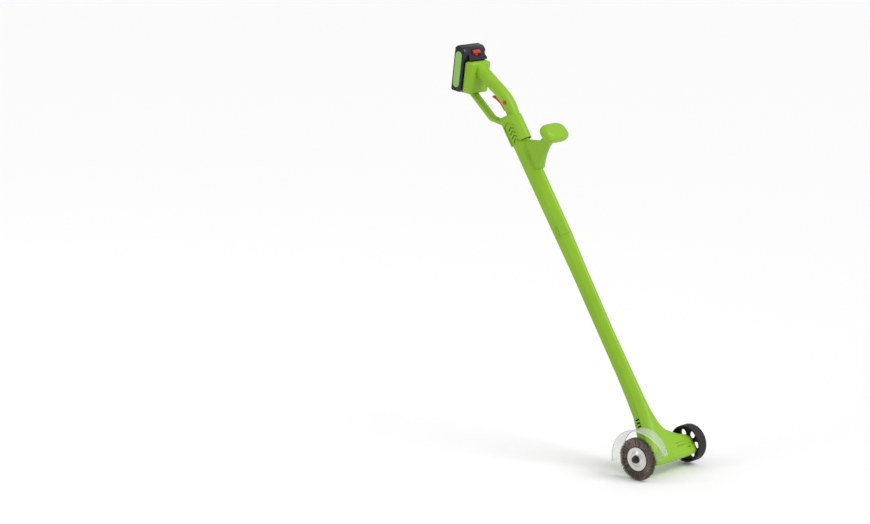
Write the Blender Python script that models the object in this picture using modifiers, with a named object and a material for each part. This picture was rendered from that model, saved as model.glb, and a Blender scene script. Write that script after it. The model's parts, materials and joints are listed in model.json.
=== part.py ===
"""Cordless weed brush: battery dock and grip, two-piece tube, and a head with a driven wire brush and a wheel.

Lengths are in millimetres and are scaled to metres when a mesh is made. The machine leans as it does in use:
+Z up, -Y forward, the brush on the -X side. The origin is the middle of the main grip.
Every piece is modelled in one of a few frames (empties), each lying along the thing that it serves.
"""

import math

import bmesh
import bpy
from mathutils import Matrix, Vector

MM = 0.001
COIL_STEPS = 10  # sides of one turn of a spring

# Driving dimensions.
GRIP_CENTRE = (0.0, 503.0, 843.0)  # from the point on the ground under the brush axis
TUBE_LEAN = 32.8  # degrees from vertical
TUBE_FOOT_Y = -39.85  # where the tube's axis would meet the ground
MOTOR_LEAN = 30.0
BATTERY_LEAN = 8.0
BATTERY_CORNER = (0.0, 624.7, 832.6)  # lower rear edge of the pack, on the mid plane
WALL = 2.5
GAP = 0.3  # between neighbouring pieces
SEAM = 0.15  # each shell stops this far from the mid plane

BRUSH_RADIUS = 50.0
AXLE_Z = 50.0
WHEEL_RADIUS = 43.7
WHEEL_X = 110.0
WHEEL_WIDTH = 28.0
HEAD_LEFT_X = 45.0
HEAD_RIGHT_X = 102.5
JOINT_S = 614.0  # the tube's plug joint, measured along the tube from its foot
TUBE_TOP_S = 905.0
SLEEVE_LOW_S = 862.0
TUBE_CROWN_POWER = 1.5  # 1 gives a straight slope from the front ridge to the side
BATTERY_LENGTH = 110.0
BATTERY_WIDTH = 74.0
RAIL_WIDTH = 46.0
CELL_RADIUS = 9.2
CELL_LENGTH = 65.0
CELL_PITCH = 19.2
GEAR_TEETH = 24
PINION_TEETH = 8
MESH_ANGLE = -math.radians(MOTOR_LEAN)  # the motor's axis, measured about +X from straight up
GUARD_RADIUS = 65.5

COLOURS = {
    # name: (red, green, blue, roughness, metallic, alpha)
    "green": (0.33, 0.60, 0.06, 0.45, 0.0, 1.0),
    "navy": (0.022, 0.028, 0.045, 0.42, 0.0, 1.0),
    "black": (0.012, 0.012, 0.013, 0.5, 0.0, 1.0),
    "red": (0.60, 0.02, 0.015, 0.35, 0.0, 1.0),
    "label": (0.38, 0.62, 0.12, 0.4, 0.0, 1.0),
    "steel": (0.62, 0.62, 0.60, 0.35, 1.0, 1.0),
    "wire": (0.10, 0.075, 0.06, 0.6, 0.4, 1.0),
    "brass": (0.80, 0.58, 0.25, 0.35, 1.0, 1.0),
    "rubber": (0.035, 0.030, 0.030, 0.75, 0.0, 1.0),
    "clear": (0.85, 0.88, 0.88, 0.08, 0.0, 0.35),
    "copper_lead": (0.25, 0.02, 0.02, 0.5, 0.0, 1.0),
    "board": (0.02, 0.18, 0.07, 0.5, 0.0, 1.0),
    "cell": (0.05, 0.22, 0.45, 0.4, 0.0, 1.0),
}


# ---------------------------------------------------------------- scene and frames

def clear_scene():
    for obj in list(bpy.data.objects):
        bpy.data.objects.remove(obj, do_unlink=True)
    for collection in list(bpy.data.collections):
        bpy.data.collections.remove(collection)


def new_collection(name):
    collection = bpy.data.collections.new(name)
    bpy.context.scene.collection.children.link(collection)
    return collection


def make_material(name, red, green, blue, roughness, metallic, alpha):
    material = bpy.data.materials.new(name)
    material.use_nodes = True
    shader = material.node_tree.nodes["Principled BSDF"]
    shader.inputs["Base Color"].default_value = (red, green, blue, 1.0)
    shader.inputs["Roughness"].default_value = roughness
    shader.inputs["Metallic"].default_value = metallic
    shader.inputs["Alpha"].default_value = alpha
    material.diffuse_color = (red, green, blue, alpha)
    return material


def make_frame(name, parent, location, lean=0.0):
    """An empty whose +Z is tilted from vertical by lean degrees, backwards (+Y) when lean is positive."""
    frame = bpy.data.objects.new(name, None)
    PARTS.objects.link(frame)
    frame.parent = parent
    frame.location = Vector(location) * MM
    frame.rotation_euler.x = -math.radians(lean)
    return frame


clear_scene()
PARTS = new_collection("cordless_weed_brush")
CUTTERS = new_collection("cutters")
MATERIALS = {name: make_material(name, *values) for name, values in COLOURS.items()}

MACHINE = make_frame("machine", None, [-value for value in GRIP_CENTRE])
TUBE = make_frame("tube_frame", MACHINE, (0.0, TUBE_FOOT_Y, 0.0), TUBE_LEAN)
AXLE = make_frame("axle_frame", MACHINE, (0.0, 0.0, AXLE_Z))
MOTOR = make_frame("motor_frame", MACHINE, (0.0, 0.0, AXLE_Z), MOTOR_LEAN)
BATTERY = make_frame("battery_frame", MACHINE, BATTERY_CORNER, -BATTERY_LEAN)
TRIGGER_PIVOT = (0.0, 477.0, 795.0)
TRIGGER_PITCH = 35.2  # the grip's slope from horizontal
TRIGGER = make_frame("trigger_frame", MACHINE, TRIGGER_PIVOT, 90.0 - TRIGGER_PITCH)
LOCK_OFF = make_frame("lock_off_frame", MACHINE, (0.0, 469.5, 814.5), 90.0 - TRIGGER_PITCH)


# ---------------------------------------------------------------- building blocks

def place(name, mesh, colour, frame, location=(0, 0, 0), rotation=(0, 0, 0)):
    """An object for this mesh. With no colour it is a cutter or a helper, which is not a part."""
    obj = bpy.data.objects.new(name, mesh)
    obj.parent = frame
    obj.location = Vector(location) * MM
    obj.rotation_euler = [math.radians(angle) for angle in rotation]
    if colour is None:
        CUTTERS.objects.link(obj)
        hide_helper(obj)
    else:
        PARTS.objects.link(obj)
        mesh.materials.append(MATERIALS[colour])
    return obj


def hide_helper(obj):
    obj.hide_render = True
    obj.display_type = "WIRE"


def finish_mesh(name, bm, smooth_angle=35.0):
    """A mesh in metres from a bmesh in millimetres, with its faces pointing out."""
    bmesh.ops.recalc_face_normals(bm, faces=bm.faces)
    bmesh.ops.scale(bm, vec=(MM, MM, MM), verts=bm.verts)
    mesh = bpy.data.meshes.new(name)
    bm.to_mesh(mesh)
    bm.free()
    mesh.shade_smooth()
    mesh.set_sharp_from_angle(angle=math.radians(smooth_angle))
    return mesh


def bevel(obj, width, segments=2, angle=40.0):
    modifier = obj.modifiers.new("rounding", "BEVEL")
    modifier.width = width * MM
    modifier.segments = segments
    modifier.limit_method = "ANGLE"
    modifier.angle_limit = math.radians(angle)
    return obj


def box(name, size, colour, frame, location=(0, 0, 0), rotation=(0, 0, 0), rounding=0.0, segments=2):
    bm = bmesh.new()
    bmesh.ops.create_cube(bm, size=1.0)
    bmesh.ops.scale(bm, vec=size, verts=bm.verts)
    obj = place(name, finish_mesh(name, bm), colour, frame, location, rotation)
    return bevel(obj, rounding, segments) if rounding else obj


def cylinder(name, radius, length, colour, frame, location=(0, 0, 0), rotation=(0, 0, 0), sides=32):
    """A cylinder along its own Z, centred."""
    bm = bmesh.new()
    bmesh.ops.create_cone(bm, cap_ends=True, segments=sides, radius1=radius, radius2=radius, depth=length)
    return place(name, finish_mesh(name, bm), colour, frame, location, rotation)


def turned(name, profile, colour, frame, location=(0, 0, 0), rotation=(0, 0, 0), steps=24, closed=True):
    """A Screw about Z of (radius, height) points, which run down the outer side and back up the bore."""
    bm = bmesh.new()
    verts = [bm.verts.new((radius, 0.0, height)) for radius, height in profile]
    ends = zip(verts, verts[1:] + (verts[:1] if closed else []))
    for first, second in ends:
        bm.edges.new((first, second))
    bmesh.ops.scale(bm, vec=(MM, MM, MM), verts=bm.verts)
    mesh = bpy.data.meshes.new(name)
    bm.to_mesh(mesh)
    bm.free()
    obj = place(name, mesh, colour, frame, location, rotation)
    screw = obj.modifiers.new("turn", "SCREW")
    screw.axis = "Z"
    screw.steps = screw.render_steps = steps
    screw.use_merge_vertices = True
    screw.merge_threshold = 0.00001
    screw.use_smooth_shade = True
    return obj


def ring(name, outer, inner, low, high, colour, frame, location=(0, 0, 0), rotation=(0, 0, 0), steps=28):
    profile = [(outer, high), (outer, low), (inner, low), (inner, high)]
    return turned(name, profile, colour, frame, location, rotation, steps)


def plate(name, points, thickness, colour, frame, location=(0, 0, 0), rotation=(0, 0, 0)):
    """A flat outline given as (y, z) points, extruded along X and centred on the frame's mid plane."""
    curve = bpy.data.curves.new(name, "CURVE")
    curve.dimensions = "2D"
    curve.fill_mode = "BOTH"
    curve.extrude = thickness / 2 * MM
    spline = curve.splines.new("POLY")
    spline.points.add(len(points) - 1)
    for point, (y, z) in zip(spline.points, points):
        point.co = (y * MM, z * MM, 0.0, 1.0)
    spline.use_cyclic_u = True
    outline = bpy.data.objects.new(name + "_outline", curve)
    CUTTERS.objects.link(outline)
    graph = bpy.context.evaluated_depsgraph_get()
    mesh = bpy.data.meshes.new_from_object(outline.evaluated_get(graph))
    bpy.data.objects.remove(outline)
    bm = bmesh.new()
    bm.from_mesh(mesh)
    bpy.data.meshes.remove(mesh)
    bmesh.ops.remove_doubles(bm, verts=bm.verts, dist=0.00001)
    bmesh.ops.dissolve_limit(bm, angle_limit=0.01, verts=bm.verts, edges=bm.edges)
    # The curve lies in XY and is extruded along Z: turn it so that its outline is in YZ.
    turn = Matrix(((0, 0, 1, 0), (1, 0, 0, 0), (0, 1, 0, 0), (0, 0, 0, 1)))
    bmesh.ops.transform(bm, matrix=turn, verts=bm.verts)
    bmesh.ops.scale(bm, vec=(1 / MM, 1 / MM, 1 / MM), verts=bm.verts)
    return place(name, finish_mesh(name, bm), colour, frame, location, rotation)


def loft(name, rings, colour, frame, smooth_angle=35.0, strip_caps=False):
    """A closed solid through rings that have the same number of points.

    strip_caps closes an end that isn't flat with strips across, for rings made by full_ring."""
    bm = bmesh.new()
    rows = [[bm.verts.new(point) for point in points] for points in rings]
    for low, high in zip(rows, rows[1:]):
        for i in range(len(low)):
            j = (i + 1) % len(low)
            bm.faces.new((low[i], low[j], high[j], high[i]))
    for row in (rows[0], rows[-1]):
        if strip_caps:
            half = len(row) // 2
            stops = [0, *range(2, half - 3), half - 1]
            for low, high in zip(stops, stops[1:]):
                bm.faces.new(row[low:high + 1] + row[len(row) - 1 - high:len(row) - low])
        else:
            bm.faces.new(row)
    return place(name, finish_mesh(name, bm, smooth_angle), colour, frame)


def half_shell(name, strips, colour, frame, close_last=False):
    """A moulded half: an open surface through half-sections, thickened inwards by the wall."""
    bm = bmesh.new()
    rows = [[bm.verts.new(point) for point in points] for points in strips]
    for low, high in zip(rows, rows[1:]):
        for i in range(len(low) - 1):
            bm.faces.new((low[i], low[i + 1], high[i + 1], high[i]))
    if close_last:
        bm.faces.new(rows[-1])
    bmesh.ops.recalc_face_normals(bm, faces=bm.faces)
    middle = sum((vert.co for vert in bm.verts), Vector()) / len(bm.verts)
    outward = sum((face.calc_center_median() - middle).dot(face.normal) * face.calc_area() for face in bm.faces)
    if outward < 0:
        bmesh.ops.reverse_faces(bm, faces=bm.faces)
    bmesh.ops.scale(bm, vec=(MM, MM, MM), verts=bm.verts)
    mesh = bpy.data.meshes.new(name)
    bm.to_mesh(mesh)
    bm.free()
    mesh.shade_smooth()
    mesh.set_sharp_from_angle(angle=math.radians(24))
    obj = place(name, mesh, colour, frame)
    solid = obj.modifiers.new("wall", "SOLIDIFY")
    solid.thickness = WALL * MM
    solid.offset = -1.0
    solid.use_even_offset = True
    solid.thickness_clamp = 0.0
    return obj


def boolean(obj, other, operation):
    modifier = obj.modifiers.new(operation.lower() + "_" + other.name, "BOOLEAN")
    modifier.operation = operation
    modifier.solver = "EXACT"
    modifier.object = other
    return obj


def cut(obj, *others):
    for other in others:
        boolean(obj, other, "DIFFERENCE")
    return obj


def join(obj, *others):
    for other in others:
        boolean(obj, other, "UNION")
    return obj


def superellipse(half_x, half_z, power, count=24):
    """Points round a rounded section, as (x, z)."""
    points = []
    for i in range(count):
        angle = 2 * math.pi * (i + 0.5) / count
        c, s = math.cos(angle), math.sin(angle)
        points.append((
            half_x * math.copysign(abs(c) ** (2 / power), c),
            half_z * math.copysign(abs(s) ** (2 / power), s),
        ))
    return points


def swept_bar(name, path, sizes, power, colour, count=20):
    """A bar through (y, z) points of the mid plane, with a (half width, half depth) at each point."""
    rings = []
    for i, (y, z) in enumerate(path):
        before = Vector(path[max(i - 1, 0)])
        after = Vector(path[min(i + 1, len(path) - 1)])
        along_in = (Vector((y, z)) - before).normalized() if i else (after - before).normalized()
        along_out = (after - Vector((y, z))).normalized() if i < len(path) - 1 else along_in
        along = (along_in + along_out).normalized()
        mitre = 1.0 / max(along.dot(along_in), 0.5)
        normal = Vector((-along.y, along.x))
        half_x, half_n = sizes[i]
        rings.append([
            (x, y + normal.x * n * mitre, z + normal.y * n * mitre)
            for x, n in superellipse(half_x, half_n, power, count)
        ])
    return loft(name, rings, colour, MACHINE)


def lead(name, path, radius, colour, frame):
    """A wire through hand-placed points, smoothed, as a round tube."""
    curve = bpy.data.curves.new(name, "CURVE")
    curve.dimensions = "3D"
    curve.bevel_depth = radius * MM
    curve.bevel_resolution = 1
    curve.use_fill_caps = True
    spline = curve.splines.new("POLY")
    smooth = smoothed(path)
    spline.points.add(len(smooth) - 1)
    for point, place_at in zip(spline.points, smooth):
        point.co = (*[value * MM for value in place_at], 1.0)
    obj = bpy.data.objects.new(name, curve)
    obj.parent = frame
    PARTS.objects.link(obj)
    curve.materials.append(MATERIALS[colour])
    return obj


def smoothed(path, between=3):
    """Catmull-Rom points through a path."""
    points = [Vector(point) for point in path]
    points = [2 * points[0] - points[1]] + points + [2 * points[-1] - points[-2]]
    result = []
    for a, b, c, d in zip(points, points[1:], points[2:], points[3:]):
        for i in range(between):
            t = i / between
            result.append(
                0.5 * (2 * b + (c - a) * t + (2 * a - 5 * b + 4 * c - d) * t * t
                       + (3 * b - a - 3 * c + d) * t ** 3)
            )
    return result + [points[-2]]


def spring(name, radius, wire, length, turns, colour, frame, location, rotation=(0, 0, 0)):
    """A compression coil along its own Z, from 0 to length."""
    steps = COIL_STEPS * turns
    curve = bpy.data.curves.new(name, "CURVE")
    curve.dimensions = "3D"
    curve.bevel_depth = wire * MM
    curve.bevel_resolution = 0
    curve.use_fill_caps = True
    spline = curve.splines.new("POLY")
    spline.points.add(steps)
    for i, point in enumerate(spline.points):
        angle = 2 * math.pi * i / COIL_STEPS
        height = wire + (length - 2 * wire) * i / steps
        point.co = (radius * math.cos(angle) * MM, radius * math.sin(angle) * MM, height * MM, 1.0)
    obj = bpy.data.objects.new(name, curve)
    obj.parent = frame
    obj.location = Vector(location) * MM
    obj.rotation_euler = [math.radians(angle) for angle in rotation]
    PARTS.objects.link(obj)
    curve.materials.append(MATERIALS[colour])
    return obj


def half_space(name, side):
    """A block that fills one side of the mid plane, up to the seam."""
    return box(name, (300, 1600, 1600), None, MACHINE, (side * (150 + SEAM), 300, 400))


# ---------------------------------------------------------------- cross-sections of the tube and the head

def half_section(half_width, crown, depth, facet, power=TUBE_CROWN_POWER, steps=6, crowd=1.0):
    """Half of a shell's cross-section, as (x, distance back from the front line), front seam to rear seam.

    The front is crowned by crown at half_width, the side runs straight back, and a slanting facet leads to
    the back. crowd above 1 brings the front's points closer to the side."""
    flat = 2.0
    points = [(SEAM, 0.0), (flat, 0.0)]
    for i in range(1, steps + 1):
        f = 1 - (1 - i / steps) ** crowd
        points.append((flat + (half_width - flat) * f, crown * f ** power))
    points.append((half_width, depth - facet))
    points.append((half_width - facet * 0.8, depth - facet * 0.12))
    points.append((half_width - facet * 1.5, depth))
    points.append((flat, depth))
    points.append((SEAM, depth))
    return points


def tube_ring(s, front, back, half_width, crown, facet, side):
    """A half-section square to the tube at distance s along it, in the tube's frame (-Y is forward)."""
    section = half_section(half_width, crown, front - back, facet)
    return [(side * x, -(front - depth), s) for x, depth in section]


def tube_point(s, forward):
    """(y, z) in the machine's frame of a point of the tube's mid plane."""
    lean = math.radians(TUBE_LEAN)
    return (
        TUBE_FOOT_Y + s * math.sin(lean) - forward * math.cos(lean),
        s * math.cos(lean) + forward * math.sin(lean),
    )


def full_ring(top_of, front, back, half_width, crown, facet):
    """A whole cross-section square to the tube; top_of gives each point's distance along the tube."""
    right = half_section(half_width, crown, front - back, facet)
    outline = right + [(-x, depth) for x, depth in reversed(right)]
    return [(x, depth - front, top_of(front - depth)) for x, depth in outline]


# ---------------------------------------------------------------- handle

GRIP_PATH = [
    (568, 887.4), (545, 871.3), (520, 853.6), (498, 838.1), (481.5, 824.5), (467, 808), (457, 790), (451, 779),
]
GRIP_SIZES = [(17, 14), (16.5, 16)] + [(15.5, 15)] * 4 + [(14.5, 14.5), (14, 14)]
LOOP_PATH = [(588, 829), (521, 770.5), (492, 764.5), (472, 760)]
LOOP_INNER_PATH = [(576, 818.5), (521, 770.5), (492, 764.5), (474, 760.5)]
LOOP_SIZE = (11, 5.6)
SLEEVE = {"front": 28.5, "back": -27.0, "half_width": 20.0, "crown": 14.0, "facet": 8.0}
PANEL_X = 17.3  # the side panel is sunk to here
PANEL_OUTLINE = [(3.5, 917), (-16.8, 902.5), (-17, 850), (17.6, 850), (17.6, 909)]
CHEVRON = [(10, -5), (0, 0.5), (-8.5, -6.5), (-8.5, -10.9), (0, -3.9), (10, -9.4)]
CHEVRON_TOP_S = 903.3
CHEVRON_PITCH = 10.1
# name: (frame, y, z, distance from the mid plane to the outside)
SCREWS = {
    "handle_screw_1": (MACHINE, 548, 873.5, 16.0),
    "handle_screw_2": (MACHINE, 521.5, 771, 11.0),
    "handle_screw_3": (TUBE, 12, 921, 20.0),
    "tube_screw_1": (TUBE, 2, 700, 17.0),
    "tube_screw_2": (TUBE, 2, 760, 17.0),
    "head_screw_1": (TUBE, 2, 480, 15.3),
    "head_screw_2": (TUBE, 2, 330, 15.0),
    "head_screw_3": (TUBE, 6, 215, 17.5),
}
POST_RADIUS = 3.8
SCREW_RADIUS = 1.6


def sleeve_top(drop):
    """The sleeve's shoulder: level across the front, and rounded over at the back."""
    slope = math.tan(math.radians(TUBE_LEAN))

    def height(forward):
        level = 938.0 - slope * forward
        return (level if forward > -6 else 942.0 - 0.0544 * (forward + 6) ** 2) - drop

    return height


def sleeve_body(name, inset, low, top_drop, rounding):
    """The sleeve as a closed solid, every face moved in by inset."""
    front = SLEEVE["front"] - inset
    back = SLEEVE["back"] + inset
    half_width = SLEEVE["half_width"] - (inset * 1.8 if inset else 0.0)
    crown = SLEEVE["crown"] - inset
    facet = SLEEVE["facet"]
    rings = [
        full_ring(lambda forward: low, front, back, half_width, crown, facet),
        full_ring(sleeve_top(top_drop + rounding), front, back, half_width, crown, facet),
        full_ring(sleeve_top(top_drop), front - rounding, back + rounding, half_width - rounding, crown, facet),
    ]
    return loft(name, rings, None, TUBE, strip_caps=True)


def screw_post(name):
    frame, y, z, half_width = SCREWS[name]
    length = 2 * (half_width - 1.5)
    return cylinder(name + "_post", POST_RADIUS, length, None, frame, (0, y, z), (0, 90, 0), 16)


def screw_holes(name):
    """A drill through the post and a counterbore from the +X side."""
    frame, y, z, half_width = SCREWS[name]
    drill_low, drill_high = -(half_width - 3.5), half_width + 1
    length = drill_high - drill_low
    middle = (drill_high + drill_low) / 2
    drill = cylinder(name + "_drill", SCREW_RADIUS + GAP, length, None, frame, (middle, y, z), (0, 90, 0), 16)
    sink = cylinder(name + "_sink", 3.6, 8, None, frame, (half_width + 0.5, y, z), (0, 90, 0), 16)
    return drill, sink


def screw(name):
    """A pan-head screw along X, its head at the +X side."""
    frame, y, z, half_width = SCREWS[name]
    seat = half_width - 3.5
    tip = -(half_width - 5.0)
    profile = [
        (0, seat + 2.6), (2.2, seat + 2.4), (3.1, seat + 1.4), (3.1, seat + GAP), (SCREW_RADIUS, seat + GAP),
        (SCREW_RADIUS, tip + 2), (0, tip),
    ]
    return turned(name, profile, "steel", frame, (0, y, z), (0, 90, 0), 12, closed=False)


def handle_whole():
    """Both halves of the handle moulding in one: dock, grip, loop bar and sleeve, hollow."""
    dock = box("dock_block", (68, 25.2, 77), None, BATTERY, (0, -44.9, 39.0), rounding=6.5, segments=3)
    grip = swept_bar("grip_bar", GRIP_PATH, GRIP_SIZES, 2.3, None)
    loop = swept_bar("loop_bar", LOOP_PATH, [LOOP_SIZE] * 4, 4.0, None, 16)
    sleeve = sleeve_body("sleeve_body", 0.0, SLEEVE_LOW_S, 0.0, 1.6)
    join(dock, grip, sleeve, loop)

    inner_sizes = [(half_x - WALL, half_n - WALL) for half_x, half_n in GRIP_SIZES]
    inner_sizes[0] = (14, 10)
    grip_bore = swept_bar("grip_bore", GRIP_PATH, inner_sizes, 2.3, None)
    loop_size = (LOOP_SIZE[0] - WALL, LOOP_SIZE[1] - WALL)
    loop_bore = swept_bar("loop_bore", LOOP_INNER_PATH, [loop_size] * 4, 4.0, None, 12)
    sleeve_bore = sleeve_body("sleeve_bore", WALL, SLEEVE_LOW_S - 8, 3.4, 2.0)
    dock_void = box("dock_void", (62, 7.5, 71), None, BATTERY, (0, -51.25, 39.0), rounding=3.0)
    # The battery's rail slides down into a slot with a wide inner part and a narrow mouth.
    rail_slot = box("rail_slot", (47.2, 8.7, 60), None, BATTERY, (0, -40.95, 63.0))
    rail_mouth = box("rail_mouth", (39.2, 10, 60.6), None, BATTERY, (0, -35, 63.0))
    terminal_pocket = box("terminal_pocket", (30.6, 10.6, 14.6), None, BATTERY, (0, -40.5, 27.0))
    latch_notch = box("latch_notch", (14, 4, 8.4), None, BATTERY, (0, -46.4, 68.0))
    cut(dock, grip_bore, sleeve_bore, loop_bore, dock_void, rail_slot, rail_mouth, terminal_pocket, latch_notch)

    for side in (-1, 1):
        panel = plate(f"panel_{side}", PANEL_OUTLINE, 10, None, TUBE, (side * (PANEL_X + 5), 0, 0))
        cut(dock, panel)
    for i in range(4):
        top = CHEVRON_TOP_S - i * CHEVRON_PITCH
        outline = [(y, top + z) for y, z in CHEVRON]
        cut(dock, plate(f"chevron_{i}", outline, 60, None, TUBE))
    trigger_slot = box("trigger_slot", (14, 21.5, 59), None, TRIGGER, (0, -4.75, 21.5))
    button_hole = cylinder("button_hole", 4.4, 12, None, LOCK_OFF, (-15, 0, 0), (0, 90, 0), 24)
    cut(dock, trigger_slot, button_hole)
    for name in SCREWS:
        if name.startswith("handle"):
            join(dock, screw_post(name))
            cut(dock, *screw_holes(name))
    return dock


def build_handle():
    whole = handle_whole()
    for name, side in (("handle_shell_left", -1), ("handle_shell_right", 1)):
        half = half_space(name, side)
        CUTTERS.objects.unlink(half)
        PARTS.objects.link(half)
        half.hide_render = False
        half.display_type = "TEXTURED"
        half.data.materials.append(MATERIALS["green"])
        boolean(half, whole, "INTERSECT")


def build_trigger():
    """Finger face towards +Y of the trigger's frame, pivot at its origin, tip towards the battery."""
    outline = [
        (1.5, 50), (-3.2, 50), (-7.5, 40), (-9, 20), (-13, 6), (-12.5, -2), (-7, -5), (-1, -4.5), (3.5, 1),
        (1.2, 8), (-1.8, 22), (-1.2, 36),
    ]
    shifted = [(y + 8.5, z) for y, z in outline]
    trigger = plate("trigger", shifted, 12.8, "red", TRIGGER, (0, -8.5, 0))
    bevel(trigger, 1.0, 2)
    spring("trigger_spring", 2.6, 0.4, 8.6, 4, "steel", TRIGGER, (0, -9.4, 33), (90, 0, 0))
    box("power_switch", (12, 11, 24), "black", TRIGGER, (0, -24.2, 34), rounding=1.0)
    turned(
        "lock_off_button",
        [(0, 6), (3.0, 6), (3.0, 3.2), (5.1, 3.2), (5.1, 1.6), (4.0, 1.6), (4.0, -6.2), (2.8, -7.4), (0, -7.8)],
        "red", LOCK_OFF, (-12.4, 0, 0), (0, 90, 0), 24, closed=False,
    )
    spring("lock_off_spring", 4.0, 0.35, 12.0, 4, "steel", LOCK_OFF, (-8.6, 0, 0), (0, 90, 0))


def build_dock_terminals():
    block = box("dock_terminal_block", (30, 9, 14), "black", BATTERY, (0, -40.5, 27.0), rounding=0.8)
    for name, x in (("dock_blade_positive", 9), ("dock_blade_negative", -9)):
        slot = box(name + "_seat", (1.6, 6.6, 16), None, BATTERY, (x, -40.5, 27.5))
        cut(block, slot)
        box(name, (1.0, 6, 24), "brass", BATTERY, (x, -40.5, 33.0))
    lead(
        "battery_lead",
        [
            (0, 570.3, 848), (0, 569.5, 860), (0, 568, 871), (0, 565.5, 877.5), (0, 558.5, 872.5),
            (0, 552.5, 866.5), (0, 540, 860.5), (0, 528, 856), (0, 510, 846.5), (0, 502.8, 842.6),
        ],
        1.8, "copper_lead", MACHINE,
    )


# ---------------------------------------------------------------- upper tube, its lock and the assist knob

# distance along the tube: (front, back, half width, crown, facet)
UPPER_TUBE = {
    JOINT_S + GAP: (23.3, -18.2, 17.0, 15.0, 6.0),
    740.0: (22.4, -20.2, 17.0, 15.0, 6.0),
    SLEEVE_LOW_S - GAP: (21.8, -21.7, 17.0, 15.0, 6.0),
    SLEEVE_LOW_S: (18.6, -18.6, 14.6, 12.4, 6.0),
    TUBE_TOP_S: (18.6, -18.6, 14.6, 12.4, 6.0),
}
STEM_OUTLINE = [
    (413.7, 726.5), (406.3, 731.3), (374, 732.5), (364, 735.5), (355, 743), (337.6, 760.2), (323.6, 745.9),
    (338, 731), (347, 720), (355, 704), (361, 686), (363.2, 672), (365.4, 668), (372.9, 663.2),
]
STEM_BORE = [
    (411, 727.5), (401, 727), (376, 729.5), (366, 732), (357, 738.5), (349, 746), (343.5, 740), (351, 724),
    (358.5, 706), (364.5, 688), (369, 677), (380, 681),
]
LOCK_S = 629.0
LOCK_Y = 1.5
LOCK_PAD = (11.0, 20.0)  # across and along the tube
KNOB_HALF_SIZE = (39.5, 25.0)


def build_upper_tube():
    window = box("lock_window", (10, LOCK_PAD[0] + 0.8, LOCK_PAD[1] + 0.8), None, TUBE, (-16, LOCK_Y, LOCK_S))
    stem_bore = plate("stem_bore", STEM_BORE, 18.5, None, MACHINE)
    for name, side in (("upper_tube_left", -1), ("upper_tube_right", 1)):
        strips = [tube_ring(s, *sizes, side) for s, sizes in UPPER_TUBE.items()]
        tube = half_shell(name, strips, "green", TUBE)
        stem = plate(name + "_stem", STEM_OUTLINE, 24, None, MACHINE)
        bevel(stem, 3.5, 2, 50)
        boolean(stem, half_space(name + "_side", side), "INTERSECT")
        join(tube, stem)
        cut(tube, stem_bore)
        if side < 0:
            cut(tube, window)
        for screw_name in ("tube_screw_1", "tube_screw_2"):
            post = screw_post(screw_name)
            boolean(post, half_space(f"{name}_{screw_name}", side), "INTERSECT")
            join(tube, post)
            cut(tube, *screw_holes(screw_name))


def build_tube_lock():
    """A ribbed pad that stands through the tube's window, with a flange inside the spigot."""
    across, along = LOCK_PAD
    pad = box("tube_lock_button", (7.2, across, along), "green", TUBE, (-14.1, LOCK_Y, LOCK_S), rounding=0.5)
    flange = box("lock_flange", (1.6, across + 3, along + 3), None, TUBE, (-10.2, LOCK_Y, LOCK_S))
    join(pad, flange)
    for i in range(3):
        groove = box(f"lock_groove_{i}", (1.6, across + 2, 1.6), None, TUBE, (-17.9, LOCK_Y, LOCK_S + 5 - 5 * i))
        cut(pad, groove)
    spring("tube_lock_spring", 3.0, 0.4, 19.9, 6, "steel", TUBE, (-9.1, LOCK_Y, LOCK_S), (0, 90, 0))


def build_assist_knob():
    knob_frame = make_frame("knob_frame", MACHINE, (0.0, 327.1, 756.5), -45.0)
    # height above the frame, and how far the outline is drawn in there
    layers = [(-11.5, 7), (-8.5, 2.6), (-3.5, 0.5), (3, 0.3), (7.5, 2.8), (10.8, 7.5), (12.2, 14)]
    rings = [
        [(x, y, height) for x, y in superellipse(KNOB_HALF_SIZE[0] - inset, KNOB_HALF_SIZE[1] - inset, 3.0, 28)]
        for height, inset in layers
    ]
    knob = loft("assist_knob", rings, "green", knob_frame, 60.0)
    pocket = box("knob_pocket", (24.8, 20.8, 14), None, knob_frame, (0, 0, -11.4))
    cut(knob, pocket)


# ---------------------------------------------------------------- head: lower tube and casing

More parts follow.
